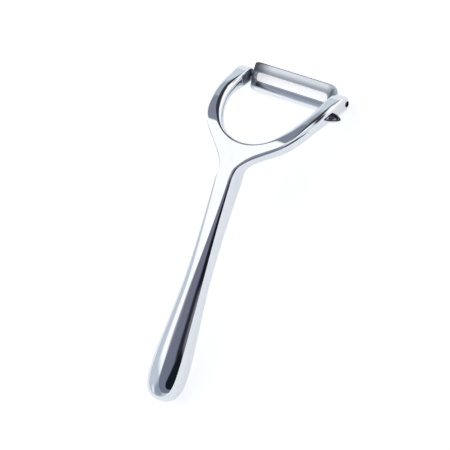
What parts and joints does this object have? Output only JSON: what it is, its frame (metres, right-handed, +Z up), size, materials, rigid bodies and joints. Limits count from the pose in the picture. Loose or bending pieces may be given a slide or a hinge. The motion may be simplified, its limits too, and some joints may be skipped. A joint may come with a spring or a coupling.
{
  "type": "vegetable peeler",
  "caption": "Y-shaped hand peeler: chromed one-piece handle and fork with a side eye gouge, holding a slotted swivel blade on pivot pins.",
  "frame": {"origin": "middle of the footprint on the surface the peeler lies on", "axes": "+Y from the handle's butt to the blade, +X along the blade towards the eye gouge, +Z up out of the cutting face"},
  "size_m": [0.0734, 0.1734, 0.0292],
  "materials": {
    "chromed_casting": "mirror chrome on a zinc die casting",
    "blade_steel": "polished stainless strip, edges ground",
    "pin_steel": "turned steel, satin"
  },
  "bodies": {
    "frame": {"handle_fork": "chromed_casting", "left_pivot_pin": "pin_steel", "right_pivot_pin": "pin_steel"},
    "blade": {"blade": "blade_steel"}
  },
  "joints": [
    {"name": "blade_swivel", "type": "hinge", "parent": "frame", "child": "blade", "pos_m": [-0.00345, 0.07994, 0.00288], "axis": [1, 0, 0], "continuous": true}
  ]
}
